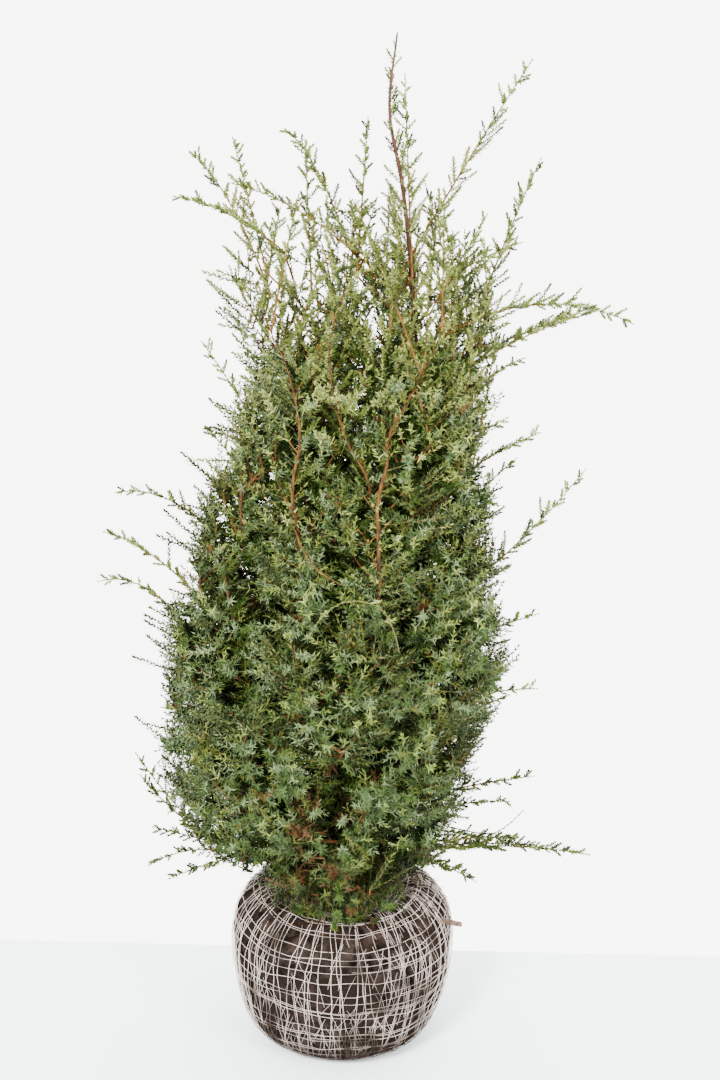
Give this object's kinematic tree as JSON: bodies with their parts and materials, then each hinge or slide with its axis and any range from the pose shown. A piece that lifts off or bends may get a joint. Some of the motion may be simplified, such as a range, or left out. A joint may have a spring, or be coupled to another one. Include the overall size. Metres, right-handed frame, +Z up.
{
  "type": "irish juniper on a root ball",
  "caption": "Young columnar juniper with an open, feathery top and long side shoots, standing on a net-wrapped root ball.",
  "frame": {"origin": "centre of the flat underside of the root ball", "axes": "+Z up along the plant, +X to its right seen from the front, the front faces -Y"},
  "size_m": [0.575, 0.4004, 1.1541],
  "materials": {
    "soil_and_net": "moist soil under a pale thin net",
    "cut_root": "dark bark with a sawn end",
    "bark": "reddish brown bark in thin strips",
    "needles": "waxy blue-green needles",
    "young_needles": "waxy yellow-green needles of the young shoots"
  },
  "bodies": {
    "root": {"bough_back_left": "bark", "bough_back_right": "bark", "bough_front": "bark", "bough_high_left": "bark", "bough_high_right": "bark", "bough_low_left": "bark", "bough_low_right": "bark", "cut_root": "cut_root", "mass_apron_front": "needles", "mass_high_back": "needles", "mass_high_front": "needles", "mass_high_left": "needles", "mass_high_right": "needles", "mass_low_back": "needles", "mass_low_front_left": "needles", "mass_low_front_right": "needles", "mass_low_left": "needles", "mass_low_right": "needles", "mass_middle_back_left": "needles", "mass_middle_back_right": "needles", "mass_middle_front": "needles", "mass_middle_left": "needles", "mass_middle_right": "needles", "mass_plume_back": "needles", "mass_plume_centre": "needles", "mass_plume_left": "needles", "mass_plume_right": "needles", "mass_skirt_back_left": "needles", "mass_skirt_back_right": "needles", "mass_skirt_front": "needles", "mass_skirt_left": "needles", "mass_skirt_right": "needles", "mass_top_back_left": "needles", "mass_top_back_right": "needles", "mass_top_front_left": "needles", "mass_top_front_right": "needles", "root_ball": "soil_and_net", "spray_arm_back_right": "young_needles", "spray_arm_right": "young_needles", "spray_back_tall": "young_needles", "spray_crest_centre": "young_needles", "spray_crest_left_flat": "young_needles", "spray_crest_left_inner": "young_needles", "spray_crest_left_mid": "young_needles", "spray_crest_left_tall": "young_needles", "spray_foot_left_down": "young_needles", "spray_foot_left_up": "young_needles", "spray_foot_right": "young_needles", "spray_front_reach": "young_needles", "spray_leader_high": "young_needles", "spray_leader_low": "young_needles", "spray_leader_twin": "young_needles", "spray_side_left_high": "young_needles", "spray_side_left_low": "young_needles", "spray_side_left_mid": "young_needles", "spray_side_right": "young_needles", "spray_spire_right": "young_needles", "spray_wand_right": "young_needles", "trunk": "bark"}
  },
  "joints": []
}
